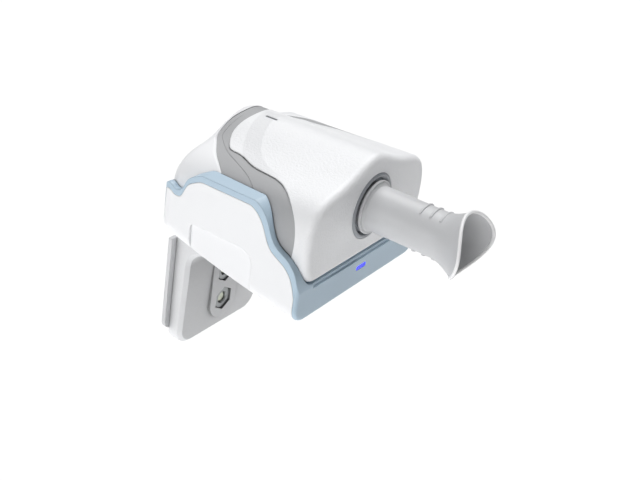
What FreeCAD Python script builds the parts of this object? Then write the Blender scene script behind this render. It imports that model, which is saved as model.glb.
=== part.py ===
import FreeCAD, Part
import math
import os
from FreeCAD import Vector

# Lung function tester in its wall dock, in millimetres.
# The model is laid out in the handset's own frame: the origin is on the mouthpiece axis at the handset's
# front plane, +X to the handset's left hand side as it looks out, +Y back towards the wall, +Z up.
# Every piece is moved by place at the end, so that the origin is the centre of the wall plate's back face.

# Handset housing
body_depth = 108.5
body_half_width = 67.8
body_floor = -34.5
ridge_height = 34.5
shoulder_x = 50.0
shoulder_height = 19.9
roof_fall = 2.6
shoulder_fall = 4.5
valley_x = 35.0
valley_height = 23.4
foot_half_width = 54.0
widest_z = -8.0
front_round = 5.0
rear_round = 7.0
shell_wall = 2.5
band_sink = 0.45
band_gap = 0.3
frame_wall = 1.6
frame_lap = 4.0
clear = 0.3

# Mouthpiece and flow path
tube_radius = 15.0
tube_wall = 1.3
tube_insert = 22.0
tube_reach = 64.7
flare_length = 15.0
saddle_depth = 10.0
flange_half_width = 24.5
flange_half_height = 21.6
collar_radius = 18.0
collar_thick = 1.6
collar_stand = 1.4
rib_radius = 0.9
rib_first = 37.0
rib_pitch = 7.1
rib_half_angle = 31.0
rib_count = 3
running_fit = 0.06
ring_radius = 22.3
ring_inner = 18.5
ring_proud = 0.8
ring_depth = 3.5
flow_outer = 17.6
outlet_radius = 15.0
transducer_radius = 4.0
transducer_length = 6.0
transducer_angle = 45.0
sensor_y = 62.0
sensor_seat = 22.0

# Status light in the roof
status_x = -3.7
status_to_rear = 27.0
status_y = body_depth - status_to_rear
status_length = 9.2
status_width = 1.6

# Tray under the handset
tray_front = 12.0
tray_to_rear = 12.5
tray_rear = body_depth - tray_to_rear
tray_half_width = 50.0
tray_plate = 2.2
tray_post_x = 40.0
tray_post_front = 22.0
band_flat_share = 0.463
post_to_band = 2.2355
tray_post_rear = band_flat_share * body_depth - post_to_band
post_radius = 3.6
screw_radius = 1.5
screw_head = 2.9
screw_head_height = 1.0

# Dock
dock_side = 4.6
dock_tail = 3.5
dock_half_width = body_half_width + dock_side
dock_depth = body_depth + dock_tail
dock_corner = 12.0
dock_rear_round = 10.0
dock_front_round = 3.0
dock_floor_front = -59.0
dock_floor_rear = -38.0
dock_wall = 2.0
dock_gap = 0.5
liner_wall = 1.5
left_lip_height = 12.2
right_lip_height = 5.0
lip_band = 4.1
front_wall = 2.6
sill_height = -36.0
rear_rim_height = -1.0
ledge_reach = 1.2
ledge_drop = 1.6
window_width = 11.5
window_height = 3.0
window_z = -44.0
recess_front = 36.0
recess_to_rear = 27.0
recess_rear = dock_depth - recess_to_rear
recess_rear_corner = 3.0
recess_front_corner = 10.0
recess_top = -22.5
recess_depth_top = 1.0
recess_depth_bottom = 4.0

# Charging pins
pin_x = 10.0
pin_y = 45.0
pin_radius = 1.3
pad_radius = 3.2
spring_radius = 1.65
spring_wire = 0.4
spring_turns = 4
board_thick = 1.6
board_z = -47.6
board_screw_length = 4.4
inlet_x = 32.0
inlet_y = 20.0

# Bracket and wall plate
arm_front = 36.0
arm_half_width = 43.5
arm_rear = dock_depth - 18.0
arm_low_rear = -64.6
arm_slope = 0.1
leg_stand = 6.0
leg_back = dock_depth + leg_stand
leg_thick = 10.0
leg_draft = 2.5
leg_bottom = -142.6
leg_corner = 14.0
inner_round = 12.0
edge_chamfer = 2.6
nut_rise = 24.9
nut_low = leg_bottom + nut_rise
nut_pitch = 23.8
nut_across = 16.0
nut_height = 6.5
nut_sink = 1.2
boss_half_width = 14.5
boss_depth = 12.6
boss_face = leg_back - boss_depth
boss_margin = 14.0
stud_radius = 4.0
stud_clear = 0.25
plate_half_width = 48.0
plate_top = -57.0
plate_rise = 12.6
plate_bottom = leg_bottom + plate_rise
plate_thick = 3.0
plate_corner = 7.0
wall_hole_x = 34.0
wall_hole_z = 27.0
wall_hole_radius = 2.6
core_wall = 2.6
core_depth = 6.5

plate_mid = (plate_top + plate_bottom) / 2
place = Vector(0, -(leg_back + plate_thick), -plate_mid)
far = 200.0
y_axis = Vector(0, 1, 0)


# Simple solids
def box(x0, x1, y0, y1, z0, z1):
    return Part.makeBox(x1 - x0, y1 - y0, z1 - z0, Vector(x0, y0, z0))


def rod(radius, start, end):
    start, end = Vector(*start), Vector(*end)
    return Part.makeCylinder(radius, (end - start).Length, start, end - start)


def rod_y(radius, y0, y1, x=0.0, z=0.0):
    return rod(radius, (x, y0, z), (x, y1, z))


def rod_z(radius, z0, z1, x=0.0, y=0.0):
    return rod(radius, (x, y, z0), (x, y, z1))


def cone_y(r0, r1, y0, y1, x=0.0, z=0.0):
    return Part.makeCone(r0, r1, abs(y1 - y0), Vector(x, y0, z), Vector(0, 1 if y1 > y0 else -1, 0))


def revolve_y(points):
    """Turn a profile of (radius, y) points about the mouthpiece axis."""
    wire = Part.makePolygon([Vector(r, y, 0) for r, y in points + points[:1]])
    return Part.Face(wire).revolve(Vector(0, 0, 0), y_axis, 360)


def joined(shapes):
    return shapes[0].multiFuse(shapes[1:]).removeSplitter() if len(shapes) > 1 else shapes[0]


def without(shape, cutters):
    return shape.cut(cutters)


def rounded_bar(x0, x1, y0, y1, z0, z1, radius):
    """A bar whose four edges along Z are rounded."""
    bar = box(x0, x1, y0, y1, z0, z1)
    upright = [e for e in bar.Edges if abs(e.tangentAt(e.FirstParameter).z) > 0.9]
    return bar.makeFillet(radius, upright)


def screw_z(x, y, under_head, tip):
    """A pan head screw driven up from below, with a slot in its head."""
    end = under_head - screw_head_height
    head = rod_z(screw_head, end, under_head, x, y)
    slot = box(x - 0.4, x + 0.4, y - far, y + far, end - 0.6, end + 0.6)
    slot = slot.common(rod_z(screw_head - 0.6, end - 1, end + 1, x, y))
    shank = rod_z(screw_radius, under_head, tip, x, y)
    return head.fuse(shank).cut(slot)


# Handset section and its side view cuts
def section_half(y):
    """Right half of the housing's section at y, from the flat floor up to the ridge."""
    w = body_half_width
    fall = shoulder_fall * y / body_depth
    shoulder, valley = shoulder_height - fall, valley_height - fall
    ridge = ridge_height - roof_fall * y / body_depth
    return [(foot_half_width, body_floor), (w - 3.8, body_floor + 5), (w - 0.7, body_floor + 14),
            (w, widest_z), (w - 1.6, widest_z + 12 - fall / 4), (w - 6.6, shoulder - 6),
            (shoulder_x, shoulder), (valley_x, valley), (valley_x * 0.56, ridge - 5.6),
            (valley_x * 0.23, ridge - 1.3), (0, ridge)]


def section_wire(inset, y):
    """The housing's closed section at y, drawn in by inset, or let out where inset is negative."""
    half = section_half(y)
    full = half + [(-x, z) for x, z in half[-2::-1]]
    before_it = [(full[0][0] - 1, full[0][1])] + full[:-1]
    after_it = full[1:] + [(full[-1][0] + 1, full[-1][1])]
    points = []
    for (x, z), (x0, z0), (x1, z1) in zip(full, before_it, after_it):
        tx, tz = (1.0, 0.0) if z == body_floor else (x1 - x0, z1 - z0)
        length = math.hypot(tx, tz)
        points.append(Vector(x - tz / length * inset, y, z + tx / length * inset))
    curve = Part.BSplineCurve()
    curve.interpolate(points)
    floor = Part.LineSegment(points[-1], points[0])
    return Part.Wire([curve.toShape(), floor.toShape()])


def section_prism(inset, y0, y1):
    return Part.makeLoft([section_wire(inset, y0), section_wire(inset, y1)], True, True)


def edges_at(shape, y):
    return [e for e in shape.Edges
            if abs(e.BoundBox.YMin - y) < 1e-3 and abs(e.BoundBox.YMax - y) < 1e-3]


def housing(inset):
    """The housing's closed outside form, drawn in by inset all round."""
    y0, y1 = inset, body_depth - inset
    solid = section_prism(inset, y0, y1)
    solid = solid.makeFillet(max(rear_round - inset, 1.0), edges_at(solid, y1))
    return solid.makeFillet(max(front_round - inset, 1.0), edges_at(solid, y0))


# Side view lines of the two grip bands, as a share of the body's depth and a height above its shoulder
def band_curve(points):
    return [(share * body_depth, shoulder_height + rise) for share, rise in points]


front_curve = band_curve([(0.838, 30), (0.854, 11.9), (0.875, 8.7), (0.877, 4.3), (0.84, 0.2), (0.726, -1.2),
                          (0.588, -1.8), (band_flat_share, -1.9), (0.357, -2.0), (0.237, -4.7), (0.136, -13.4),
                          (0.104, -23.1), (0.104, -34.6), (0.104, -80)])
seam_curve = band_curve([(0.888, 30), (0.9, 11.6), (0.92, 8.8), (0.926, 4.8), (0.92, 1.5), (0.885, -0.5),
                         (0.814, -1.9), (0.706, -2.8), (0.574, -4.2), (0.45, -8.8), (0.385, -18),
                         (0.36, -28), (0.36, -80)])
rear_curve = band_curve([(0.927, 30), (0.939, 11.1), (0.957, 7.9), (0.957, 3.7), (0.943, 0.2), (0.915, -1.4),
                         (0.861, -2.8), (0.787, -4.5), (0.683, -8.9), (0.61, -18), (0.58, -28), (0.58, -80)])


def region(curve, shift_y, shift_z, towards):
    """The space before or behind a side view curve, as a solid as wide as the handset."""
    points = [Vector(-far / 2, y + shift_y, z + shift_z) for y, z in curve]
    spline = Part.BSplineCurve()
    spline.interpolate(points)
    end_y = -far if towards == "front" else far
    corner_low = Vector(-far / 2, end_y, points[-1].z)
    corner_high = Vector(-far / 2, end_y, points[0].z)
    wire = Part.Wire([spline.toShape(), Part.LineSegment(points[-1], corner_low).toShape(),
                      Part.LineSegment(corner_low, corner_high).toShape(),
                      Part.LineSegment(corner_high, points[0]).toShape()])
    return Part.Face(wire).extrude(Vector(far, 0, 0))


def before(curve, back_off=band_gap / 2):
    return region(curve, -back_off * 0.7, back_off * 0.7, "front")


def behind(curve, back_off=band_gap / 2):
    return region(curve, back_off * 0.7, -back_off * 0.7, "rear")


def tray_opening(grow=0.0):
    return rounded_bar(-tray_half_width - grow, tray_half_width + grow, tray_front - grow,
                       tray_rear + grow, body_floor - 5, body_floor + 8, 6.0)


def status_slot(grow):
    length, width = status_length + 2 * grow, status_width + 2 * grow
    return rounded_bar(status_x - width / 2, status_x + width / 2, status_y - length / 2,
                       status_y + length / 2, 10, ridge_height + 5, width * 0.45)


def front_shell(outer, inner):
    shell = outer.cut(inner).common(before(front_curve))
    posts = [rod_z(post_radius, body_floor + tray_plate + clear, shoulder_height + 6, x, y)
             for x in (-tray_post_x, tray_post_x) for y in (tray_post_front, tray_post_rear)]
    posts = Part.makeCompound(posts)
    stems = posts.common(housing(shell_wall + clear))
    roots = posts.common(housing(shell_wall / 2)).common(before(front_curve))
    shell = shell.cut(tray_opening()).fuse(stems.Solids + roots.Solids)
    holes = [rod_z(screw_radius + running_fit, body_floor, body_floor + 16, x, y)
             for x in (-tray_post_x, tray_post_x) for y in (tray_post_front, tray_post_rear)]
    socket = rod_y(ring_inner - 1.0, -5, 20)
    seat = rod_y(ring_radius + running_fit, -5, ring_depth - ring_proud + clear)
    behind_ring = rod_y(ring_inner + 3.0, -5, 8)
    return without(shell, holes + [socket, seat, behind_ring, status_slot(0.1)])


def grip_band(sunk, inner, curve_before, curve_behind):
    band = sunk.cut(inner).common(behind(curve_before)).common(before(curve_behind))
    return band.cut(tray_opening())


def rear_shell(outer, inner):
    shell = outer.cut(inner).common(behind(rear_curve))
    hole = rod_y(outlet_radius, body_depth - 12, body_depth + 5)
    return without(shell, [hole, tray_opening()])


def inner_frame():
    hoop = housing(shell_wall + clear).cut(housing(shell_wall + clear + frame_wall))
    hoop = hoop.common(behind(front_curve, -frame_lap)).common(before(rear_curve, -frame_lap))
    opening = box(-tray_half_width - 3, tray_half_width + 3, 0, body_depth, body_floor, body_floor + 9)
    keep = box(-far, far, 0, body_depth - 10, -far, far)
    posts = [rod_z(post_radius + 0.5, body_floor, ridge_height, x, y)
             for x in (-tray_post_x, tray_post_x) for y in (tray_post_front, tray_post_rear)]
    return hoop.common(keep).cut([opening] + posts)


def base_tray():
    g = clear
    plate = rounded_bar(-tray_half_width + g, tray_half_width - g, tray_front + g, tray_rear - g,
                        body_floor, body_floor + tray_plate, 5.7)
    top = body_floor + tray_plate
    wall_out = rounded_bar(-tray_half_width + 10, tray_half_width - 10, tray_front + 12, tray_rear - 8,
                           top - 0.5, top + 3.5, 4)
    wall_in = rounded_bar(-tray_half_width + 11.5, tray_half_width - 11.5, tray_front + 13.5,
                          tray_rear - 9.5, top - 1, top + 4, 3)
    rests = [rod_z(2.2, top - 0.5, board_seat(), x, y) for x, y in main_board_screws()]
    tray = joined([plate, wall_out.cut(wall_in)] + rests)
    cuts = []
    for x in (-tray_post_x, tray_post_x):
        for y in (tray_post_front, tray_post_rear):
            cuts.append(rod_z(screw_radius + 0.25, body_floor - 1, top + 1, x, y))
            cuts.append(rod_z(screw_head + 0.3, body_floor - 1, body_floor + 1.2, x, y))
            cuts.append(rod_z(post_radius + clear, top, top + 5, x, y))
    cuts += [rod_z(1.0, top, board_seat() + 1, x, y) for x, y in main_board_screws()]
    cuts += [rod_z(pad_radius + 0.1, body_floor - 1, top + 1, x, pin_y) for x in (-pin_x, pin_x)]
    return without(tray, cuts)


def board_seat():
    return body_floor + tray_plate + 5.0


def main_board_screws():
    return [(x, y) for x in (8.0, 34.0) for y in (62.0, 80.0)]


def main_board():
    z = board_seat()
    board = box(3, 37.5, 57, 85, z, z + board_thick)
    return without(board, [rod_z(1.15, z - 1, z + 3, x, y) for x, y in main_board_screws()])


def main_board_screw_set():
    z = board_seat() + board_thick
    heads = [rod_z(2.0, z, z + 1.2, x, y).fuse(rod_z(0.95, z - 5.5, z, x, y))
             for x, y in main_board_screws()]
    return Part.makeCompound(heads)


def processor():
    z = board_seat() + board_thick
    return rounded_bar(15, 27, 65, 77, z, z + 1.4, 0.5)


def battery_pack():
    z = body_floor + tray_plate
    return rounded_bar(-35.5, -1, 28, 84, z, z + 8.5, 2.0)


def contact_pads():
    """Two plated pads let into the tray, level with the handset's floor."""
    return Part.makeCompound([rod_z(pad_radius, body_floor, body_floor + tray_plate, x, pin_y)
                              for x in (-pin_x, pin_x)])


def tray_screws():
    return Part.makeCompound([screw_z(x, y, body_floor + 1.2, body_floor + 13)
                              for x in (-tray_post_x, tray_post_x)
                              for y in (tray_post_front, tray_post_rear)])


def roof_z(x, y):
    """Height of the roof near the ridge, on the straight flank between ridge and valley."""
    flank = (ridge_height - 1.0 - valley_height) * max(abs(x) - 5.0, 0) / (valley_x - 5)
    return ridge_height - 1.0 - flank - roof_fall * y / body_depth


def status_window():
    low = roof_z(status_x, status_y) - 4.0
    return status_slot(0.0).common(box(-far, far, 0, far, low, far)).common(section_prism(0.25, 40, 100))


def lamp_board():
    z = roof_z(status_x, status_y) - 6.2
    return box(status_x - 4, status_x + 4, status_y - 8, status_y + 4, z, z + 1.2)


def status_lamp():
    z = roof_z(status_x, status_y) - 5.0
    return box(status_x - 0.8, status_x + 0.8, status_y - 3.5, status_y + 3.5, z, z + 0.8)


# Flow path
def socket_ring():
    y0 = -ring_proud
    y1 = ring_depth - ring_proud
    inner_y = y0 + 1.4
    return revolve_y([(ring_radius, y0 + 1.0), (ring_radius - 1.3, y0), (ring_radius - 2.4, y0),
                      (ring_inner, inner_y), (ring_inner, y1), (ring_radius, y1)])


def sensor_axis(side):
    """Direction from the middle of the flow tube to one of its two ultrasonic transducers."""
    a = math.radians(transducer_angle)
    return Vector(side * math.sin(a), side * math.cos(a), 0)


def along(side, distance):
    d = sensor_axis(side)
    return (d.x * distance, sensor_y + d.y * distance, 0)


def flow_tube():
    front = ring_depth - ring_proud + clear
    rear = body_depth - 4.5
    step = tube_insert + clear
    bore = tube_radius - tube_wall
    seat = tube_radius + running_fit
    pods = [rod(transducer_radius + 1.5, along(s, 10), along(s, sensor_seat + 8)) for s in (-1, 1)]
    tube = joined([rod_y(flow_outer, front, rear), rod_y(ring_inner + 2.6, front, front + 2.0)] + pods)
    ports = [rod(transducer_radius + running_fit, along(s, sensor_seat), along(s, sensor_seat + 9))
             for s in (-1, 1)]
    paths = [rod(transducer_radius - 0.8, along(s, 8), along(s, sensor_seat + 1)) for s in (-1, 1)]
    return without(tube, [rod_y(seat, -5, step), rod_y(bore, step - 1, rear + 5)] + ports + paths)


def transducers():
    """Two ultrasonic transducers, each a can pushed into its pod with a cap over the pod's mouth."""
    set_of_two = []
    for s in (-1, 1):
        can = rod(transducer_radius, along(s, sensor_seat), along(s, sensor_seat + transducer_length))
        neck = rod(transducer_radius - 0.5, along(s, sensor_seat + transducer_length), along(s, sensor_seat + 8))
        cap = rod(transducer_radius + 0.8, along(s, sensor_seat + 8), along(s, sensor_seat + 9.4))
        set_of_two.append(joined([can, neck, cap]))
    return Part.makeCompound(set_of_two)


def outlet_grille():
    """Round grille in the rear shell where the breath leaves the flow tube."""
    rear = body_depth - 0.6
    disc = rod_y(outlet_radius - 0.1, rear - 2.0, rear)
    rim = rod_y(outlet_radius - 0.1, rear - 3.0, rear).cut(rod_y(outlet_radius - 1.6, rear - 4, rear + 1))
    slots = []
    for i in range(-3, 4):
        half = math.sqrt((outlet_radius - 2.6) ** 2 - (i * 3.4) ** 2)
        slots.append(box(-half, half, rear - 4, rear + 1, i * 3.4 - 1.05, i * 3.4 + 1.05))
    return joined([without(disc, slots), rim])


# Mouthpiece
def ellipse_wire(a, b, y):
    """Closed ellipse with half width a and half height b, across the mouthpiece axis."""
    if abs(a - b) < 1e-6:
        edge = Part.Circle(Vector(0, y, 0), y_axis, a).toShape()
    elif a > b:
        edge = Part.Ellipse(Vector(a, y, 0), Vector(0, y, b), Vector(0, y, 0)).toShape()
    else:
        edge = Part.Ellipse(Vector(0, y, b), Vector(-a, y, 0), Vector(0, y, 0)).toShape()
    return Part.Wire([edge])


def trumpet(inset):
    """The mouthpiece's flared end before it is trimmed to its saddle."""
    r = tube_radius - inset
    grow_x = flange_half_width - tube_radius
    grow_z = flange_half_height - tube_radius
    wires = []
    for k in (0.0, 0.25, 0.5, 0.75, 1.0, 1.2):
        run = k * (flare_length + saddle_depth)
        a = r + grow_x * k ** 1.9
        b = r + grow_z * (run / flare_length) ** 1.6
        wires.append(ellipse_wire(a, b, flare_length - tube_reach - run))
    return Part.makeLoft(wires, True, False)


def saddle_cut():
    """Everything beyond the curved rim of the mouthpiece."""
    points = []
    for k in range(-6, 7):
        x = flange_half_width * 1.25 * k / 6
        points.append(Vector(x, -(tube_reach + saddle_depth * (x / flange_half_width) ** 2), -60))
    spline = Part.BSplineCurve()
    spline.interpolate(points)
    end_y = -far
    a, b = Vector(points[-1].x, end_y, -60), Vector(points[0].x, end_y, -60)
    wire = Part.Wire([spline.toShape(), Part.LineSegment(points[-1], a).toShape(),
                      Part.LineSegment(a, b).toShape(), Part.LineSegment(b, points[0]).toShape()])
    return Part.Face(wire).extrude(Vector(0, 0, 120))


def rib(y, top):
    """A short rounded rib across the top or the bottom of the tube."""
    a = math.radians(rib_half_angle)
    sign = 1 if top else -1
    first = Vector(-tube_radius * math.sin(a), -y, sign * tube_radius * math.cos(a))
    circle = Part.Wire([Part.Circle(first, Vector(sign * math.cos(a), 0, math.sin(a)), rib_radius).toShape()])
    ring = Part.Face(circle).revolve(Vector(0, 0, 0), y_axis, sign * 2 * rib_half_angle)
    ends = [Part.makeSphere(rib_radius, Vector(s * first.x, -y, first.z)) for s in (-1, 1)]
    return joined([ring] + ends)


def mouthpiece():
    bore = tube_radius - tube_wall
    start = tube_reach - flare_length
    tube = rod_y(tube_radius, -start, tube_insert)
    collar = revolve_y([(tube_radius - 0.6, -collar_stand - collar_thick - 1.2),
                        (tube_radius, -collar_stand - collar_thick - 1.2),
                        (tube_radius + 1.2, -collar_stand - collar_thick),
                        (collar_radius - 0.4, -collar_stand - collar_thick),
                        (collar_radius, -collar_stand - collar_thick + 0.4),
                        (collar_radius, -collar_stand), (tube_radius - 0.6, -collar_stand)])
    flare = trumpet(0.0)
    ribs = [rib(rib_first + rib_pitch * i, top) for i in range(rib_count) for top in (True, False)]
    piece = joined([tube, collar, flare])
    piece = piece.fuse(ribs).cut(saddle_cut())
    return piece.cut([rod_y(bore, -start, tube_insert + 1), trumpet(tube_wall)])


# Dock
def dock_wire(y, floor, inset):
    """Rounded trough outline of the dock at y: open upwards far above its lip."""
    w = dock_half_width - inset
    r = dock_corner - inset
    z = floor + inset
    top = ridge_height + 5
    k = r * (1 - math.sqrt(0.5))
    left_arc = Part.Arc(Vector(-w, y, z + r), Vector(-w + k, y, z + k), Vector(-w + r, y, z)).toShape()
    right_arc = Part.Arc(Vector(w - r, y, z), Vector(w - k, y, z + k), Vector(w, y, z + r)).toShape()
    lines = [Part.LineSegment(Vector(-w, y, top), Vector(-w, y, z + r)).toShape(), left_arc,
             Part.LineSegment(Vector(-w + r, y, z), Vector(w - r, y, z)).toShape(), right_arc,
             Part.LineSegment(Vector(w, y, z + r), Vector(w, y, top)).toShape(),
             Part.LineSegment(Vector(w, y, top), Vector(-w, y, top)).toShape()]
    return Part.Wire(lines)


def dock_floor(y):
    """Height of the dock's underside, which is level in front and climbs towards the wall."""
    t = max(y, 0.0) / dock_depth
    return dock_floor_front + (dock_floor_rear - dock_floor_front) * (0.45 * t + 0.55 * t ** 1.9)


def dock_form(inset, y0, y1, front_fillet, rear_fillet):
    stations = [y0 + (y1 - y0) * k / 4 for k in range(5)]
    solid = Part.makeLoft([dock_wire(y, dock_floor(y), inset) for y in stations], True, False)
    solid = solid.makeFillet(rear_fillet, edges_at(solid, y1))
    if front_fillet:
        solid = solid.makeFillet(front_fillet, edges_at(solid, y0))
    return solid


def lip_side(height, front_shift, drop):
    """Side view of the dock below one of its lips, as a face at x = 0."""
    h, s, rim, d = height, sill_height, rear_rim_height, dock_depth
    front = [(0.0, s), (1.0, s + 3.5), (4.2, s + 12.0), (11.0, s + 19.2), (20.5, s + 24.8), (25.8, s + 33.0),
             (30.0, h - 7.2), (34.0, h - 2.9), (39.0, h)]
    fall = [(d - 34.0, h), (d - 28.0, h - 2.0), (d - 22.0, rim + 7.0), (d - 17.5, rim - 1.5), (d - 13.5, rim - 2.8)]
    rear = [(d - 13.5, rim - 2.8), (d - 10.0, rim - 1.2), (d - 6.5, rim - 0.6), (d - 3.0, rim - 3.2), (d, rim - 9.0)]
    front = [Vector(0, y + front_shift, z - drop) for y, z in front]
    fall = [Vector(0, y, z - drop) for y, z in fall]
    rear = [Vector(0, y, z - drop) for y, z in rear]
    level = Vector(0, 1, 0)
    front_line, fall_line, rear_line = Part.BSplineCurve(), Part.BSplineCurve(), Part.BSplineCurve()
    front_line.interpolate(front)
    fall_line.interpolate(Points=fall, InitialTangent=level, FinalTangent=level)
    rear_line.interpolate(Points=rear, InitialTangent=level, FinalTangent=Vector(0, 1, -2.4))
    corners = [rear[-1], Vector(0, far, rear[-1].z), Vector(0, far, -far), Vector(0, front_shift, -far), front[0]]
    edges = [front_line.toShape(), Part.LineSegment(front[-1], fall[0]).toShape(), fall_line.toShape(),
             rear_line.toShape()]
    edges += [Part.LineSegment(a, b).toShape() for a, b in zip(corners[:-1], corners[1:])]
    return Part.Face(Part.Wire(edges))


def lip_region(front_shift=0.0, drop=0.0):
    """The space below the dock's lips. The left lip, on the -X side, is the higher one."""
    left = lip_side(left_lip_height, front_shift, drop).extrude(Vector(-far / 2, 0, 0))
    right = lip_side(right_lip_height, front_shift, drop).extrude(Vector(far / 2, 0, 0))
    return left.fuse(right)


def sill_cut():
    """The narrow ledge in the sill just under the handset's front edge."""
    half = foot_half_width + 2.0
    return box(-half, half, -1, ledge_reach, sill_height - ledge_drop, sill_height + 2)


def bay():
    """The space the handset slides into, from the front."""
    return section_prism(-dock_gap, -20, body_depth + dock_gap)


def window_bar(grow, y0, y1):
    w, h = window_width / 2 + grow, window_height / 2 + grow
    bar = box(-w, w, y0, y1, window_z - h, window_z + h)
    ends = [e for e in bar.Edges if abs(e.tangentAt(e.FirstParameter).y) > 0.9]
    return bar.makeFillet(h * 0.9, ends)


def dock_liner(form):
    low = lip_region()
    trough = section_prism(-dock_gap - liner_wall, 0.5, body_depth + dock_gap + liner_wall)
    under = lip_region(front_wall, lip_band)
    rim = form.common(low).cut(under)
    skin = trough.common(low).common(form)
    pin_holes = [rod_z(pin_radius + 0.3, body_floor - 10, body_floor + 5, x, pin_y) for x in (-pin_x, pin_x)]
    liner = joined([rim, skin])
    return without(liner, [bay(), sill_cut(), window_bar(0.1, -5, 20)] + pin_holes)


def recess_cut(side, grow):
    """Wedge that sinks the panel in the dock's side, deeper towards the floor, with rounded upper corners."""
    w = dock_half_width
    low = dock_floor_front - 5
    pts = [(w + 10, recess_top + grow), (w - recess_depth_top - grow, recess_top + grow),
           (w - recess_depth_bottom - grow, low), (w + 10, low)]
    poly = Part.makePolygon([Vector(side * x, recess_front - grow, z) for x, z in pts + pts[:1]])
    wedge = Part.Face(poly).extrude(Vector(0, recess_rear - recess_front + 2 * grow, 0))
    window = box(-far, far, recess_front - grow, recess_rear + grow, low - 1, recess_top + grow)
    for y, radius in ((recess_front - grow, recess_front_corner), (recess_rear + grow, recess_rear_corner)):
        corner = [e for e in window.Edges if e.BoundBox.XLength > far and e.BoundBox.ZMin > recess_top - 1
                  and abs(e.BoundBox.YMin - y) < 0.1]
        window = window.makeFillet(radius + grow, corner)
    return wedge.common(window)


def dock_posts():
    return [(x, y) for x in (-22.0, 22.0) for y in (14.0, 54.0)]


def arm_screws():
    return [(x, y) for x in (-34.0, 34.0) for y in (46.0, 82.0)]


def dock_shell(form):
    gap = 0.15
    inner = dock_form(dock_wall, -10.0, dock_depth - dock_wall, 0, dock_rear_round - dock_wall)
    zone = lip_region(front_wall + gap, lip_band + gap)
    clear_trough = section_prism(-dock_gap - liner_wall - clear, -20,
                                 body_depth + dock_gap + liner_wall + clear)
    shell = form.cut(inner).common(zone)
    for side in (-1, 1):
        backing = recess_cut(side, 1.6).common(form).common(zone)
        shell = shell.fuse(backing).cut(recess_cut(side, 0.0))
    posts = [rod_z(3.0, dock_floor_front - 5, board_z, x, y) for x, y in dock_posts()]
    posts += [rod_z(4.2, dock_floor_front - 5, dock_floor(y) + 8, x, y) for x, y in arm_screws()]
    shell = shell.fuse([p.common(form) for p in posts])
    cuts = [rod_z(1.2, board_z + board_thick - board_screw_length - clear, board_z + 1, x, y)
            for x, y in dock_posts()]
    cuts += [rod_z(screw_radius + running_fit, dock_floor(y) - 5, dock_floor(y) + 7, x, y)
             for x, y in arm_screws()]
    cuts += [clear_trough, box(inlet_x - 4.8, inlet_x + 4.8, inlet_y - 4.8, inlet_y + 4.8,
                               dock_floor_front - 5, board_z)]
    return without(shell, cuts)


def window_light():
    return window_bar(0.0, 0.2, front_wall + 1.0)


def charge_board():
    board = joined([box(-27, 28, 8.5, 59, board_z, board_z + board_thick),
                    box(20, inlet_x + 6, 8.5, inlet_y + 16, board_z, board_z + board_thick)])
    return without(board, [rod_z(1.3, board_z - 1, board_z + 3, x, y) for x, y in dock_posts()])


def board_screw_set():
    z = board_z + board_thick
    return Part.makeCompound([rod_z(2.3, z, z + 1.4, x, y).fuse(rod_z(1.1, z - board_screw_length, z, x, y))
                              for x, y in dock_posts()])


def charge_lamp():
    z = board_z + board_thick
    return box(-4, 4, front_wall + 4.0, front_wall + 8.0, z, z + 2.4)


def contact_block():
    z = board_z + board_thick
    top = body_floor - dock_gap - liner_wall - clear
    block = rounded_bar(-pin_x - 5, pin_x + 5, pin_y - 4.5, pin_y + 4.5, z, top, 1.5)
    bores = [rod_z(2.1, z - 1, top - 2.0, x, pin_y) for x in (-pin_x, pin_x)]
    necks = [rod_z(pin_radius + running_fit, top - 3, top + 1, x, pin_y) for x in (-pin_x, pin_x)]
    return without(block, bores + necks)


def contact_pin(x):
    """Plunger with a round tip, held in the block by its collar."""
    tip = body_floor - 0.04
    top = body_floor - dock_gap - liner_wall - clear
    stem = rod_z(pin_radius, top - 5.0, tip - pin_radius, x, pin_y)
    ball = Part.makeSphere(pin_radius, Vector(x, pin_y, tip - pin_radius))
    collar = rod_z(2.0, top - 4.0, top - 2.3, x, pin_y)
    return joined([stem, ball, collar])


def spring_bottom():
    return board_z + board_thick + 0.1


def contact_spring(x):
    """Coil spring of square wire under the plunger's collar."""
    top = body_floor - dock_gap - liner_wall - clear - 4.2
    low = spring_bottom() + spring_wire / 2
    run = top - low - spring_wire / 2
    helix = Part.makeHelix(run / spring_turns, run, spring_radius)
    helix.translate(Vector(x, pin_y, low))
    h = spring_wire / 2
    section = Part.makePolygon([Vector(x + spring_radius + a * h, pin_y, low + b * h)
                                for a, b in ((-1, -1), (1, -1), (1, 1), (-1, 1), (-1, -1))])
    return Part.Wire(helix.Edges).makePipeShell([section], True, True)


def power_inlet():
    """Barrel inlet under the board, open through the dock's floor."""
    low = dock_floor(inlet_y) + 0.6
    block = box(inlet_x - 4.5, inlet_x + 4.5, inlet_y - 4.5, inlet_y + 4.5, low, board_z)
    hollow = rod_z(2.9, low - 1, board_z - 2.0, inlet_x, inlet_y)
    pin = rod_z(0.9, low + 1.0, board_z - 1.0, inlet_x, inlet_y)
    return block.cut(hollow).fuse(pin)


# Bracket and wall plate
def leg_front(z):
    """Front face of the bracket's leg, which thins towards its lower end."""
    root = arm_low_rear
    t = (root - z) / (root - leg_bottom)
    return leg_back - leg_thick - leg_draft * (1 - t)


def arm_under(y):
    """Height of the arm's underside, which drops a little towards its front end."""
    return arm_low_rear - arm_slope * (arm_rear - y)


def nut_places():
    return [nut_low, nut_low + nut_pitch]


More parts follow.
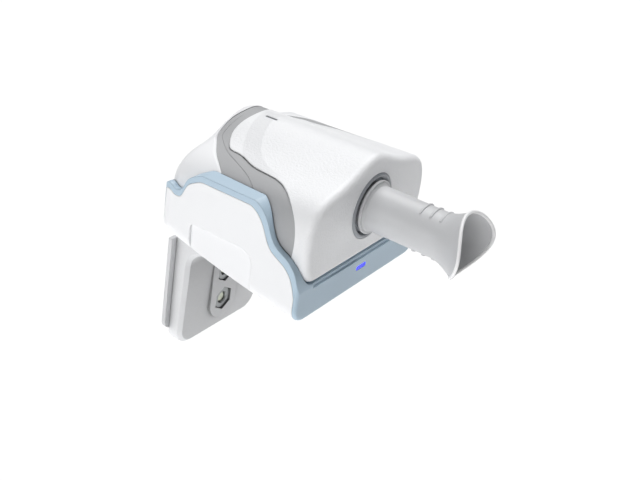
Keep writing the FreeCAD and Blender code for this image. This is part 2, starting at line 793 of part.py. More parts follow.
def bracket_blank():
    corner_y = leg_front(arm_under(leg_front(leg_bottom)))
    under = [(arm_front, arm_under(arm_front)), (corner_y, arm_under(corner_y) + 1.5)]
    pts = ([(arm_front, 0)] + under +
           [(leg_front(leg_bottom), leg_bottom), (leg_back, leg_bottom), (leg_back, 0)])
    wire = Part.makePolygon([Vector(-arm_half_width, y, z) for y, z in pts + pts[:1]])
    solid = Part.Face(wire).extrude(Vector(2 * arm_half_width, 0, 0))
    inner = [e for e in solid.Edges if abs(e.BoundBox.YMin - corner_y) < 1e-3
             and abs(e.BoundBox.YMax - corner_y) < 1e-3 and e.BoundBox.XLength > 10]
    solid = solid.makeFillet(inner_round, inner)
    feet = [e for e in solid.Edges if e.BoundBox.ZMax < leg_bottom + 1e-3 and e.BoundBox.XLength < 1e-3]
    solid = solid.makeFillet(leg_corner, feet)
    return solid


def on_outline(edge):
    """True for the edges of the leg's front face and the arm's underside that are bevelled."""
    b = edge.BoundBox
    on_side = b.XLength < 1e-3 and b.YMax < leg_back - 1 and b.ZMax < -20 and b.YMin > arm_front - 1e-3
    slopes = b.YMax - b.YMin > 0.05 and b.ZMin > leg_bottom - 1
    foot = b.ZMin < leg_bottom + leg_corner + 1 and b.ZMax < leg_bottom + leg_corner + 1
    return (on_side and slopes and b.YMax < leg_back - 2) or (foot and b.YMax < leg_back - 1)


def wall_bracket(form):
    solid = bracket_blank()
    solid = solid.makeChamfer(edge_chamfer, [e for e in solid.Edges if on_outline(e)])
    z_low = nut_low - boss_margin
    z_high = nut_low + nut_pitch + boss_margin
    r = boss_half_width
    boss = joined([box(-r, r, boss_face, leg_back - 1, z_low + r - 1, z_high),
                   rod_y(r, boss_face, leg_back - 1, 0, z_low + r - 1)])
    solid = solid.fuse(boss)
    seat = form.copy()
    seat.translate(Vector(0, 0, -clear))
    cores = []
    for x0, x1 in ((-arm_half_width + core_wall + 1, -boss_half_width - core_wall),
                   (boss_half_width + core_wall, arm_half_width - core_wall - 1)):
        for z0, z1 in ((leg_bottom + 6, nut_low + 6), (nut_low + 6 + core_wall, nut_low + nut_pitch + 8),
                       (nut_low + nut_pitch + 8 + core_wall, plate_top - 2)):
            cores.append(box(x0, x1, leg_back - core_depth, leg_back + 5, z0, z1))
    holes = []
    for z in nut_places():
        holes.append(hex_prism(nut_across / 2 + 0.15, boss_face - 1, boss_face + nut_sink + nut_height, z))
        holes.append(rod_y(stud_radius + stud_clear, boss_face, leg_back + 5, 0, z))
    for x, y in arm_screws():
        head_z = dock_floor(y) - clear - 4.0
        holes.append(rod_z(screw_head + 0.5, arm_under(y) - 20, head_z, x, y))
        holes.append(rod_z(screw_radius + 0.3, head_z - 1, dock_floor(y) + 5, x, y))
    return without(solid, [seat] + cores + holes)


def hex_prism(apothem, y0, y1, z):
    """Six sided prism along Y with two upright flats."""
    r = apothem / math.cos(math.pi / 6)
    pts = [Vector(r * math.sin(math.pi * k / 3), y0, z + r * math.cos(math.pi * k / 3)) for k in range(7)]
    return Part.Face(Part.makePolygon(pts)).extrude(Vector(0, y1 - y0, 0))


def hex_nut(z):
    y0 = boss_face + nut_sink
    body = hex_prism(nut_across / 2, y0, y0 + nut_height, z)
    bevel = cone_y(nut_across / 2 - 0.2, nut_across / 2 + nut_height, y0, y0 + nut_height + 0.2, 0, z)
    body = body.common(bevel)
    mouth = cone_y(stud_radius + 0.8, stud_radius, y0 - 0.01, y0 + 0.8, 0, z)
    return body.cut([rod_y(stud_radius + running_fit, y0 - 1, y0 + nut_height + 1, 0, z), mouth])


def hex_nuts():
    return Part.makeCompound([hex_nut(z) for z in nut_places()])


def studs():
    """Two flat headed screws through the wall plate from behind. Their ends show inside the nuts."""
    back = leg_back + plate_thick
    tip = boss_face + nut_sink + 1.4
    made = []
    for z in nut_places():
        shank = rod_y(stud_radius, tip + 0.8, back, 0, z)
        end = cone_y(stud_radius, stud_radius - 0.8, tip + 0.8, tip, 0, z)
        head = cone_y(stud_radius + 2.4, stud_radius, back, back - 2.4, 0, z)
        made.append(joined([shank, end, head]))
    return Part.makeCompound(made)


def wall_plate():
    plate = box(-plate_half_width, plate_half_width, leg_back, leg_back + plate_thick, plate_bottom, plate_top)
    corners = [e for e in plate.Edges if e.BoundBox.XLength < 1e-3 and e.BoundBox.ZLength < 1e-3
               and e.BoundBox.ZMax < plate_mid]
    plate = plate.makeFillet(plate_corner, corners)
    back = leg_back + plate_thick
    cuts = []
    for z in nut_places():
        cuts.append(rod_y(stud_radius + running_fit, leg_back - 1, back + 1, 0, z))
        cuts.append(cone_y(stud_radius + 2.5, stud_radius, back + 0.02, back - 2.5, 0, z))
    for x in (-wall_hole_x, wall_hole_x):
        for z in (plate_mid - wall_hole_z, plate_mid + wall_hole_z):
            cuts.append(rod_y(wall_hole_radius, leg_back - 1, back + 1, x, z))
            cuts.append(cone_y(wall_hole_radius + 1.8, wall_hole_radius, leg_back - 0.02, leg_back + 1.8, x, z))
    return without(plate, cuts)


def arm_screw_set():
    made = []
    for x, y in arm_screws():
        under_head = dock_floor(y) - clear - 4.0
        made.append(screw_z(x, y, under_head, dock_floor(y) + 5.5))
    return Part.makeCompound(made)


# Build and write every piece
def build():
    outer, sunk, inner = housing(0.0), housing(band_sink), housing(shell_wall)
    form = dock_form(0.0, 0.0, dock_depth, dock_front_round, dock_rear_round)
    return {
        "front_shell": front_shell(outer, inner),
        "rear_shell": rear_shell(outer, inner),
        "front_grip_band": grip_band(sunk, inner, front_curve, seam_curve),
        "rear_grip_band": grip_band(sunk, inner, seam_curve, rear_curve),
        "inner_frame": inner_frame(),
        "base_tray": base_tray(),
        "tray_screws": tray_screws(),
        "charge_pads": contact_pads(),
        "main_board": main_board(),
        "main_board_screws": main_board_screw_set(),
        "processor": processor(),
        "battery_pack": battery_pack(),
        "status_window": status_window(),
        "status_lamp": status_lamp(),
        "lamp_board": lamp_board(),
        "socket_ring": socket_ring(),
        "flow_tube": flow_tube(),
        "flow_transducers": transducers(),
        "outlet_grille": outlet_grille(),
        "mouthpiece": mouthpiece(),
        "dock_liner": dock_liner(form),
        "dock_shell": dock_shell(form),
        "charge_window": window_light(),
        "charge_lamp": charge_lamp(),
        "charge_board": charge_board(),
        "charge_board_screws": board_screw_set(),
        "contact_block": contact_block(),
        "left_charge_pin": contact_pin(-pin_x),
        "right_charge_pin": contact_pin(pin_x),
        "left_pin_spring": contact_spring(-pin_x),
        "right_pin_spring": contact_spring(pin_x),
        "power_inlet": power_inlet(),
        "wall_bracket": wall_bracket(form),
        "bracket_screws": arm_screw_set(),
        "hex_nuts": hex_nuts(),
        "plate_screws": studs(),
        "wall_plate": wall_plate(),
    }


os.makedirs("parts", exist_ok=True)
for node, shape in build().items():
    placed = shape.copy()
    placed.translate(place)
    placed.exportStep("parts/" + node + ".step")
    print(node, len(placed.Solids), round(placed.Volume), placed.isValid())
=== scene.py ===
import bmesh
import bpy
import math
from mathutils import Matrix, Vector


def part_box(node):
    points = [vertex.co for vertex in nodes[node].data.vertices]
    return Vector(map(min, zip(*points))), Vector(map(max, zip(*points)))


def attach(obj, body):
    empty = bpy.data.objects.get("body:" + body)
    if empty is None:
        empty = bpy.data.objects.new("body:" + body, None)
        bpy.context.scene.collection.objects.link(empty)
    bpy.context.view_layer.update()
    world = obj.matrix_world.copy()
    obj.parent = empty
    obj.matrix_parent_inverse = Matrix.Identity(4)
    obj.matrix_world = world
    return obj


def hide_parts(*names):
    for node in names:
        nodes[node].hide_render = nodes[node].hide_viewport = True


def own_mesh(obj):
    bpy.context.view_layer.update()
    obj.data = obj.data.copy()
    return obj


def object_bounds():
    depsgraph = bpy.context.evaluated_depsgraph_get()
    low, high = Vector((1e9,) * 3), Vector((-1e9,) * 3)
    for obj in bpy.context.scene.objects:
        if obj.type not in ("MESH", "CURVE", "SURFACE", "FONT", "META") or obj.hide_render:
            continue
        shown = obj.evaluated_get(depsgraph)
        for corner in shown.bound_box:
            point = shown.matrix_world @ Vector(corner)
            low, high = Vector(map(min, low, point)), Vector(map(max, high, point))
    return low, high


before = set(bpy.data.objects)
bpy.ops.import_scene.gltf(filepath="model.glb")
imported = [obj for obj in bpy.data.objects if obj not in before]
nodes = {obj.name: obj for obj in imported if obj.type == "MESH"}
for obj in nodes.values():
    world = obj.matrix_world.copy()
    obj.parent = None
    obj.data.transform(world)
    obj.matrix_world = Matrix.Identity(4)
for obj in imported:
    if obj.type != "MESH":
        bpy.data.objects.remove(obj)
cad_corners = [list(corner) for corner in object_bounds()]

# Wall plate. A flat plate of 3 mm steel that four countersunk screws hold on the wall.
# It is cut from sheet and powder coated, so its face has the faint orange peel of baked paint.


def linear(code, shade=1.0):
    """Turns an sRGB hex colour into the linear values that Blender's sockets take, times shade."""
    parts = [int(code[i:i + 2], 16) / 255 for i in (0, 2, 4)]
    return [shade * (p / 12.92 if p <= 0.04045 else ((p + 0.055) / 1.055) ** 2.4) for p in parts] + [1.0]


def add(tree, kind, settings=None, links=None):
    """Adds a node, sets its settings and sockets, and links other nodes' outputs to it."""
    made = tree.nodes.new(kind)
    for name, value in (settings or {}).items():
        if isinstance(name, int) or name in made.inputs:
            made.inputs[name].default_value = value
        else:
            setattr(made, name, value)
    for name, source in (links or {}).items():
        tree.links.new(source, made.inputs[name])
    return made


def new_material(name):
    """An empty material, with its node tree and the Object coordinates that its patterns use."""
    material = bpy.data.materials.new(name)
    material.use_nodes = True
    tree = material.node_tree
    tree.nodes.clear()
    place = add(tree, "ShaderNodeTexCoord").outputs["Object"]
    return material, tree, place


def powder_coat(name, paint, peel, relief, painted_shade_tone=1.0):
    """Baked powder paint: satin, with soft waves peel metres apart. Its colour also holds painted shade:
    in deep corners and under overhangs, which ambient occlusion finds, only the given tone's share of it is
    left."""
    cloud_scale, cloud_shade = 22.0, 0.965
    edge_radius, painted_shade_reach, painted_shade_depth = 0.0008, 0.11, 0.3
    material, tree, place = new_material(name)
    waves = add(tree, "ShaderNodeTexNoise", {"Scale": 1 / peel, "Detail": 2.0}, {"Vector": place})
    clouds = add(tree, "ShaderNodeTexNoise", {"Scale": cloud_scale, "Detail": 3.0}, {"Vector": place})
    tone = add(tree, "ShaderNodeMix", {"data_type": "RGBA", 6: linear(paint), 7: linear(paint, cloud_shade)},
               {"Factor": clouds.outputs["Fac"]})
    satin = add(tree, "ShaderNodeMapRange", {"To Min": 0.42, "To Max": 0.56}, {"Value": waves.outputs["Fac"]})
    eased = add(tree, "ShaderNodeBevel", {"Radius": edge_radius, "samples": 6})
    bump = add(tree, "ShaderNodeBump", {"Strength": 0.35, "Distance": relief},
               {"Height": waves.outputs["Fac"], "Normal": eased.outputs["Normal"]})
    # Painted shade: ambient occlusion darkens the colour in deep corners and under overhangs.
    corner = add(tree, "ShaderNodeAmbientOcclusion", {"Distance": painted_shade_reach, "samples": 8})
    painted_shade_share = add(tree, "ShaderNodeMapRange", {"From Min": painted_shade_depth, "To Min": painted_shade_tone, "To Max": 1.0},
                {"Value": corner.outputs["AO"]})
    coat_with_painted_shade = add(tree, "ShaderNodeVectorMath", {"operation": "SCALE"},
               {0: tone.outputs[2], "Scale": painted_shade_share.outputs["Result"]})
    surface = add(tree, "ShaderNodeBsdfPrincipled", {"IOR": 1.5},
                  {"Base Color": coat_with_painted_shade.outputs[0], "Roughness": satin.outputs["Result"],
                   "Normal": bump.outputs["Normal"]})
    add(tree, "ShaderNodeOutputMaterial", links={"Surface": surface.outputs["BSDF"]})
    return material


def cover(material, *names):
    """Puts one material on the whole of each named CAD node."""
    for name in names:
        data = nodes[name].data
        data.materials.clear()
        data.materials.append(material)


plate_paint = powder_coat("powder_coated_steel_plate", "D2D3D5", peel=0.0016, relief=0.00004)
cover(plate_paint, "wall_plate")

# Plate screws, bracket screws and hexagon nuts. Turned and pressed steel, zinc plated and passivated.
# The plating leaves a soft grey metal with a faint yellow-green cast where the screw ends show.


def plated_steel(name, metal, brushed, rough):
    """Plated or bare steel: satin metal with fine drawn lines brushed metres apart."""
    draw_share, line_shade = 0.12, 0.82
    material, tree, place = new_material(name)
    stretch = add(tree, "ShaderNodeMapping", {"Scale": (1.0, draw_share, 1.0)}, {"Vector": place})
    lines = add(tree, "ShaderNodeTexNoise", {"Scale": 1 / brushed, "Detail": 4.0},
                {"Vector": stretch.outputs["Vector"]})
    tone = add(tree, "ShaderNodeMix", {"data_type": "RGBA", 6: linear(metal), 7: linear(metal, line_shade)},
               {"Factor": lines.outputs["Fac"]})
    satin = add(tree, "ShaderNodeMapRange", {"To Min": rough - 0.06, "To Max": rough + 0.08},
                {"Value": lines.outputs["Fac"]})
    bump = add(tree, "ShaderNodeBump", {"Strength": 0.2, "Distance": 0.00003}, {"Height": lines.outputs["Fac"]})
    surface = add(tree, "ShaderNodeBsdfPrincipled", {"Metallic": 1.0},
                  {"Base Color": tone.outputs[2], "Roughness": satin.outputs["Result"],
                   "Normal": bump.outputs["Normal"]})
    add(tree, "ShaderNodeOutputMaterial", links={"Surface": surface.outputs["BSDF"]})
    return material


nut_zinc = plated_steel("zinc_plated_nut_steel", "A4A7A8", brushed=0.0006, rough=0.42)
stud_zinc = plated_steel("zinc_plated_screw_steel", "C9CDBE", brushed=0.0005, rough=0.36)
cover(nut_zinc, "hex_nuts")
cover(stud_zinc, "plate_screws", "bracket_screws")

# Wall bracket. An arm and a leg cast in one piece of aluminium, cored behind, with its edges bevelled.
# The casting is powder coated in a slightly coarser texture than the plate. Painted shade darkens its colour in
# deep corners and under the arm.
bracket_paint_and_painted_shade = powder_coat("powder_coated_cast_aluminium_painted_shade", "E9EAEC", peel=0.0022, relief=0.00007,
                            painted_shade_tone=0.12)
cover(bracket_paint_and_painted_shade, "wall_bracket")

# Dock shell. The white outer trough of the dock, injection moulded in ABS.
# Its mould was spark eroded, which gives the sides a fine even grain and a satin sheen.


def moulded_plastic(name, colour, grain, relief, rough, mottle=0.97, edge=0.0008, form=None):
    """Injection moulded plastic: grain of dots grain metres apart, satin, its edges eased to a radius of edge.
    mottle is the shade that its colour drifts to. form, where there is one, makes a shallow height in metres
    that the grain then lies on."""
    drift_scale = 14.0
    material, tree, place = new_material(name)
    dots = add(tree, "ShaderNodeTexNoise", {"Scale": 1 / grain, "Detail": 3.0, "Roughness": 0.6},
               {"Vector": place})
    drift = add(tree, "ShaderNodeTexNoise", {"Scale": drift_scale, "Detail": 2.0}, {"Vector": place})
    tone = add(tree, "ShaderNodeMix", {"data_type": "RGBA", 6: linear(colour), 7: linear(colour, mottle)},
               {"Factor": drift.outputs["Fac"]})
    satin = add(tree, "ShaderNodeMapRange", {"To Min": rough - 0.05, "To Max": rough + 0.07},
                {"Value": dots.outputs["Fac"]})
    eased = add(tree, "ShaderNodeBevel", {"Radius": edge, "samples": 6})
    if form:
        eased = add(tree, "ShaderNodeBump", {"Strength": 1.0, "Distance": 1.0},
                    {"Height": form(tree, place), "Normal": eased.outputs["Normal"]})
    bump = add(tree, "ShaderNodeBump", {"Strength": 0.5, "Distance": relief},
               {"Height": dots.outputs["Fac"], "Normal": eased.outputs["Normal"]})
    surface = add(tree, "ShaderNodeBsdfPrincipled", {"IOR": 1.52},
                  {"Base Color": tone.outputs[2], "Roughness": satin.outputs["Result"],
                   "Normal": bump.outputs["Normal"]})
    add(tree, "ShaderNodeOutputMaterial", links={"Surface": surface.outputs["BSDF"]})
    return material


dock_white = moulded_plastic("satin_white_abs", "F1F2F4", grain=0.0011, relief=0.00004, rough=0.42, edge=0.0012)
cover(dock_white, "dock_shell")

# Dock liner. The pale blue front and inner tray of the dock, moulded in coloured ABS.
# It is one piece with the lips that hug the handset, so the same satin grain runs over all of it.
liner_blue = moulded_plastic("satin_blue_grey_abs", "B4C9D9", grain=0.0011, relief=0.00004, rough=0.4,
                             edge=0.0009)
cover(liner_blue, "dock_liner")

# Charging light. A clear bar of polycarbonate in the dock's front, lit blue from a lamp behind it.
# The diffusing grade of plastic spreads the light, so the bar glows evenly with only a slow change.


def lit_diffuser(name, colour, glow, streak):
    """Milky plastic lit from inside, with a slow change of brightness streak metres long."""
    material, tree, place = new_material(name)
    haze = add(tree, "ShaderNodeTexNoise", {"Scale": 1 / streak, "Detail": 1.0}, {"Vector": place})
    power = add(tree, "ShaderNodeMapRange", {"To Min": glow * 0.8, "To Max": glow * 1.15},
                {"Value": haze.outputs["Fac"]})
    surface = add(tree, "ShaderNodeBsdfPrincipled",
                  {"Base Color": linear(colour), "Emission Color": linear(colour), "Roughness": 0.25,
                   "IOR": 1.58}, {"Emission Strength": power.outputs["Result"]})
    add(tree, "ShaderNodeOutputMaterial", links={"Surface": surface.outputs["BSDF"]})
    return material


blue_light = lit_diffuser("blue_lit_polycarbonate", "1D27FF", glow=0.95, streak=0.012)
cover(blue_light, "charge_window")

# Circuit boards, of the dock and of the handset. Green glass-epoxy, with their lamps, chip, plugs and screws.
# The solder mask over the copper shows as a slightly darker net of tracks.


def circuit_board(name, mask, track_width):
    """Green solder mask over a net of copper tracks that are track_width metres wide."""
    tracks_in_row, gap_share, between_shade, track_shade = 12, 0.05, 1.12, 0.7
    material, tree, place = new_material(name)
    tracks = add(tree, "ShaderNodeTexBrick",
                 {"Scale": 1 / track_width / tracks_in_row, "Mortar Size": gap_share, "Color1": linear(mask),
                  "Color2": linear(mask, between_shade), "Mortar": linear(mask, track_shade)},
                 {"Vector": place})
    bump = add(tree, "ShaderNodeBump", {"Strength": 0.4, "Distance": 0.00005}, {"Height": tracks.outputs["Fac"]})
    surface = add(tree, "ShaderNodeBsdfPrincipled", {"Roughness": 0.3, "IOR": 1.5},
                  {"Base Color": tracks.outputs["Color"], "Normal": bump.outputs["Normal"]})
    add(tree, "ShaderNodeOutputMaterial", links={"Surface": surface.outputs["BSDF"]})
    return material


green_board = circuit_board("green_glass_epoxy_board", "1F5B3A", track_width=0.0004)
black_nylon = moulded_plastic("matt_black_nylon", "25262A", grain=0.0008, relief=0.00003, rough=0.55)
clear_epoxy = lit_diffuser("clear_lamp_epoxy", "DDE2F6", glow=0.15, streak=0.004)
small_zinc = plated_steel("zinc_plated_small_screws", "B9BCC0", brushed=0.0003, rough=0.4)
cover(green_board, "charge_board", "main_board", "lamp_board")
cover(black_nylon, "contact_block", "power_inlet", "processor")
cover(clear_epoxy, "charge_lamp", "status_lamp")
cover(small_zinc, "charge_board_screws", "main_board_screws", "tray_screws")

# Charging pins and pads. Turned brass under a thin gold plating, worn a little duller in patches.
# A coil of spring steel wire stands under each pin; the real spring shortens by the pin's travel when the pin is
# pressed, but here each coil is a fixed copy of the spring, hung on the dock.


def gold_plate(name, metal, wear):
    """Gold over nickel: bright, with duller worn patches wear metres across."""
    material, tree, place = new_material(name)
    patches = add(tree, "ShaderNodeTexNoise", {"Scale": 1 / wear, "Detail": 3.0}, {"Vector": place})
    dull = add(tree, "ShaderNodeMapRange", {"To Min": 0.18, "To Max": 0.42}, {"Value": patches.outputs["Fac"]})
    surface = add(tree, "ShaderNodeBsdfPrincipled", {"Base Color": linear(metal), "Metallic": 1.0},
                  {"Roughness": dull.outputs["Result"]})
    add(tree, "ShaderNodeOutputMaterial", links={"Surface": surface.outputs["BSDF"]})
    return material


contact_gold = gold_plate("gold_plated_brass", "D8B25A", wear=0.002)
spring_steel = plated_steel("spring_steel_wire", "A7ABB0", brushed=0.0004, rough=0.3)
cover(contact_gold, "left_charge_pin", "right_charge_pin", "charge_pads")
cover(spring_steel, "left_pin_spring", "right_pin_spring")
for side in ("left", "right"):
    coil = bpy.data.objects.new(side + "_pin_coil", nodes[side + "_pin_spring"].data.copy())
    bpy.context.collection.objects.link(coil)
    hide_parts(side + "_pin_spring")
    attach(coil, "dock")
    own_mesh(coil)

# Battery pack. A lithium cell in a shrunk sleeve of thin film, resting on the tray.
# The film is glossy and drawn tight, with slow creases.
film_blue = moulded_plastic("shrunk_polyester_film", "35588A", grain=0.006, relief=0.00012, rough=0.3)
cover(film_blue, "battery_pack")

# Tray and frame inside the handset. Plain moulded parts that carry the boards and lap the shells.
# Nobody sees them in use, so they have a coarse working grain.
tray_abs = moulded_plastic("matt_grey_tray_abs", "D6D9DD", grain=0.0014, relief=0.00006, rough=0.52)
frame_nylon = moulded_plastic("matt_dark_frame_nylon", "3A3D42", grain=0.0014, relief=0.00006, rough=0.55)
cover(tray_abs, "base_tray")
cover(frame_nylon, "inner_frame")

# Handset shells. The front shell and the rear cap, moulded in the same white ABS as the dock.
# Their grain is a touch coarser than the dock's, drawn coarse enough on the front to show as a fine speckle.


def roof_dish(tree, place):
    """The roof's flat middle, with the surface behind its curved edge falling by fall towards the band."""
    middle_y, half_width, half_depth = -0.086, 0.046, 0.044
    edge, fall, front_fade, rear_fade = 0.8, 0.0022, 0.004, 0.02
    parts = add(tree, "ShaderNodeSeparateXYZ", links={"Vector": place})
    back = add(tree, "ShaderNodeMath", {"operation": "SUBTRACT", 1: middle_y}, {0: parts.outputs["Y"]})
    back = add(tree, "ShaderNodeMath", {"operation": "MAXIMUM", 1: 0.0}, {0: back.outputs[0]})
    plan = add(tree, "ShaderNodeCombineXYZ", links={"X": parts.outputs["X"], "Y": back.outputs[0]})
    span = add(tree, "ShaderNodeMapping", {"Scale": (edge / half_width, edge / half_depth, 1.0)},
               {"Vector": plan.outputs[0]})
    ring = add(tree, "ShaderNodeTexGradient", {"gradient_type": "SPHERICAL"}, {"Vector": span.outputs[0]})
    slope = add(tree, "ShaderNodeMapRange", {"From Min": 1 - edge, "From Max": 0.0, "To Max": -fall},
                {"Value": ring.outputs["Fac"]})
    rear = add(tree, "ShaderNodeMapRange",
               {"interpolation_type": "SMOOTHSTEP", "From Min": middle_y - front_fade,
                "From Max": middle_y + rear_fade}, {"Value": parts.outputs["Y"]})
    height = add(tree, "ShaderNodeMath", {"operation": "MULTIPLY"},
                 {0: slope.outputs["Result"], 1: rear.outputs["Result"]})
    return height.outputs[0]


shell_white = moulded_plastic("grained_white_abs", "EDEEF0", grain=0.0015, relief=0.0006, rough=0.44,
                              form=roof_dish)
cap_white = moulded_plastic("grained_white_cap_abs", "EDEEF0", grain=0.0014, relief=0.0001, rough=0.44)
cover(shell_white, "front_shell")
cover(cap_white, "rear_shell")

# Grip bands. Two soft-touch bands let in between the shells, so that the hand finds a dull, dry surface.
# The rubbery coating is matt and scatters light at grazing angles.


def soft_touch(name, colour, grain):
    """Soft-touch elastomer: matt, with a faint velvet sheen and a very fine grain."""
    dot_shade = 0.93
    material, tree, place = new_material(name)
    dots = add(tree, "ShaderNodeTexNoise", {"Scale": 1 / grain, "Detail": 4.0}, {"Vector": place})
    tone = add(tree, "ShaderNodeMix", {"data_type": "RGBA", 6: linear(colour), 7: linear(colour, dot_shade)},
               {"Factor": dots.outputs["Fac"]})
    bump = add(tree, "ShaderNodeBump", {"Strength": 0.3, "Distance": 0.00005}, {"Height": dots.outputs["Fac"]})
    surface = add(tree, "ShaderNodeBsdfPrincipled",
                  {"Roughness": 0.62, "IOR": 1.47, "Sheen Weight": 0.15, "Sheen Roughness": 0.5},
                  {"Base Color": tone.outputs[2], "Normal": bump.outputs["Normal"]})
    add(tree, "ShaderNodeOutputMaterial", links={"Surface": surface.outputs["BSDF"]})
    return material


grip_grey = soft_touch("soft_touch_grey_elastomer", "ABACAE", grain=0.0012)
cover(grip_grey, "front_grip_band", "rear_grip_band")

# Status window. A smoked bar of clear polycarbonate let flush into the roof.
# With its lamp off it reads as a dark grey slit.
smoked = moulded_plastic("smoked_polycarbonate", "6E7277", grain=0.002, relief=0.00002, rough=0.22)
cover(smoked, "status_window")

# Socket ring, flow tube, outlet grille and sensors. The breath's path through the handset.
# The ring is grey and smooth, so that the mouthpiece's collar seats on it. The sensors sit in metal cans.
ring_grey = moulded_plastic("smooth_grey_abs_ring", "8F9399", grain=0.002, relief=0.00003, rough=0.32)
tube_grey = moulded_plastic("pale_grey_flow_tube_abs", "C9CED6", grain=0.0014, relief=0.00004, rough=0.45)
grille_grey = moulded_plastic("matt_grey_grille_abs", "6C727A", grain=0.0012, relief=0.00005, rough=0.5)
can_metal = plated_steel("anodised_aluminium_can", "AEB2B8", brushed=0.0005, rough=0.38)
cover(ring_grey, "socket_ring")
cover(tube_grey, "flow_tube")
cover(grille_grey, "outlet_grille")
cover(can_metal, "flow_transducers")

# Mouthpiece. A changeable white tube with a collar, finger ribs and a flared saddle for the lips.
# It is moulded in polypropylene, which is a little waxy and lets some light into its thin rim.


def polypropylene(name, colour, grain):
    """Waxy moulded polypropylene with a little light scattered below its surface."""
    scatter, scatter_depth = 0.12, 0.002
    material, tree, place = new_material(name)
    dots = add(tree, "ShaderNodeTexNoise", {"Scale": 1 / grain, "Detail": 3.0}, {"Vector": place})
    satin = add(tree, "ShaderNodeMapRange", {"To Min": 0.4, "To Max": 0.5}, {"Value": dots.outputs["Fac"]})
    bump = add(tree, "ShaderNodeBump", {"Strength": 0.25, "Distance": 0.00004}, {"Height": dots.outputs["Fac"]})
    surface = add(tree, "ShaderNodeBsdfPrincipled",
                  {"Base Color": linear(colour), "IOR": 1.49, "Subsurface Weight": scatter,
                   "Subsurface Radius": (scatter_depth, scatter_depth, scatter_depth), "Subsurface Scale": 1.0},
                  {"Roughness": satin.outputs["Result"], "Normal": bump.outputs["Normal"]})
    add(tree, "ShaderNodeOutputMaterial", links={"Surface": surface.outputs["BSDF"]})
    return material


mouth_white = polypropylene("waxy_white_polypropylene", "C3C4C6", grain=0.0015)
cover(mouth_white, "mouthpiece")

# Mouthpiece rim. The bead that is moulded round the saddle's edge, so that no sharp edge meets the lips.
# It is the same polypropylene as the tube and one with it, coloured paler as a painted highlight along its edge.
# It follows the flare where the saddle cuts it.
tube_radius, flare_length, saddle_depth = 0.015, 0.015, 0.010
flange_half_width, flange_half_height = 0.0245, 0.0216
width_power, height_power = 1.9, 1.6
rim_radius, rim_inset, rim_back, rim_points, fitting_rounds = 0.0011, 0.0005, 0.0004, 48, 12
ring_low, ring_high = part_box("socket_ring")
axis_z = ring_low[2] / 2 + ring_high[2] / 2
saddle_top_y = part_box("mouthpiece")[0][1] + saddle_depth

rim_curve = bpy.data.curves.new("mouthpiece_rim", "CURVE")
rim_curve.dimensions = "3D"
rim_curve.bevel_depth = rim_radius
rim_curve.bevel_resolution = 4
rim_line = rim_curve.splines.new("NURBS")
rim_line.points.add(rim_points - 1)
for step in range(rim_points):
    turn = 2 * math.pi * step / rim_points
    run = flare_length
    for _ in range(fitting_rounds):
        spread_x = (run / (flare_length + saddle_depth)) ** width_power
        spread_z = (run / flare_length) ** height_power
        half_x = tube_radius + (flange_half_width - tube_radius) * spread_x
        half_z = tube_radius + (flange_half_height - tube_radius) * spread_z
        run = flare_length + saddle_depth * (half_x * math.cos(turn) / flange_half_width) ** 2
    x, z = (half_x - rim_inset) * math.cos(turn), (half_z - rim_inset) * math.sin(turn)
    rim_line.points[step].co = (x, saddle_top_y - (run - flare_length) + rim_back, axis_z + z, 1.0)
rim_line.use_cyclic_u = True
rim_line.order_u = 4
rim_line.resolution_u = 4
rim = bpy.data.objects.new("mouthpiece_rim", rim_curve)
bpy.context.collection.objects.link(rim)
# The rim's paler colour is a painted highlight along the bead's edge.
rim_curve.materials.append(polypropylene("waxy_rim_polypropylene_painted_highlight", "EDEDEE", grain=0.0015))
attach(rim, "mouthpiece")

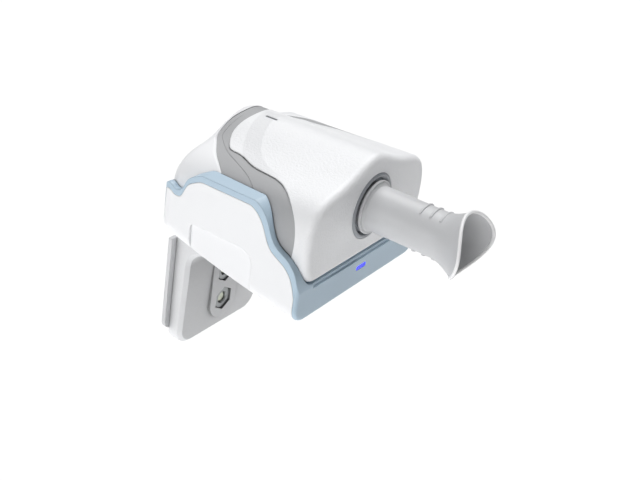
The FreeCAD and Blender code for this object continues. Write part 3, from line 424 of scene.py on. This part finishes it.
# Stage. A plain pale floor, as far below the bracket as a room's floor is below one on its wall.
# It is matt and almost white, so that nothing but the object draws the eye.
floor_drop, floor_half_size = 1.2, 14.0
floor_mesh = bmesh.new()
bmesh.ops.create_grid(floor_mesh, x_segments=1, y_segments=1, size=floor_half_size)
bmesh.ops.translate(floor_mesh, verts=floor_mesh.verts, vec=(0, 0, cad_corners[0][2] - floor_drop))
floor_data = bpy.data.meshes.new("floor")
floor_mesh.to_mesh(floor_data)
floor_mesh.free()
floor = bpy.data.objects.new("floor", floor_data)
bpy.context.collection.objects.link(floor)
floor_data.materials.append(moulded_plastic("pale_studio_floor", "FBFBFB", grain=0.05, relief=0.00001, rough=0.8,
                                            mottle=0.995))

# Studio light. Two wide soft lights shape the object, one low from its left and one from above.
# The room round it is white where the camera sees it, and lights the object only faintly.
world = bpy.data.worlds.new("studio")
bpy.context.scene.world = world
world.use_nodes = True
room = world.node_tree
room.nodes.clear()
ambient, seen_white = 0.12, 1.0
looked_at = add(room, "ShaderNodeLightPath").outputs["Is Camera Ray"]
level = add(room, "ShaderNodeMapRange", {"To Min": ambient, "To Max": seen_white}, {"Value": looked_at})
sky = add(room, "ShaderNodeBackground", {"Color": linear("FFFFFF")}, {"Strength": level.outputs["Result"]})
add(room, "ShaderNodeOutputWorld", links={"Surface": sky.outputs["Background"]})


def soft_sun(name, direction, strength, spread):
    """A far studio light, as wide as spread in radians, that shines from the given direction."""
    data = bpy.data.lights.new(name, "SUN")
    data.energy = strength
    data.angle = spread
    lamp = bpy.data.objects.new(name, data)
    lamp.rotation_euler = Vector(direction).to_track_quat("Z", "Y").to_euler()
    bpy.context.collection.objects.link(lamp)


soft_sun("key", (-1.0, 0.04, 0.03), strength=2.1, spread=0.6)
soft_sun("top", (0.5, 0.12, 1.0), strength=3.2, spread=0.8)

# Camera. It stands where the photograph was taken from, to the left of the mouthpiece and above it.
# Its three turns are in degrees, and its lens and sensor in millimetres.
camera_place, camera_turns = (-0.5433, -0.40475, 0.39066), (61.575, -8.141, -55.344)
camera_data = bpy.data.cameras.new("camera")
camera_data.sensor_width = 36.0
camera_data.lens = 60.98
camera = bpy.data.objects.new("camera", camera_data)
camera.location = camera_place
camera.rotation_euler = [math.radians(angle) for angle in camera_turns]
bpy.context.collection.objects.link(camera)
bpy.context.scene.camera = camera
bpy.context.scene.view_settings.view_transform = "Standard"
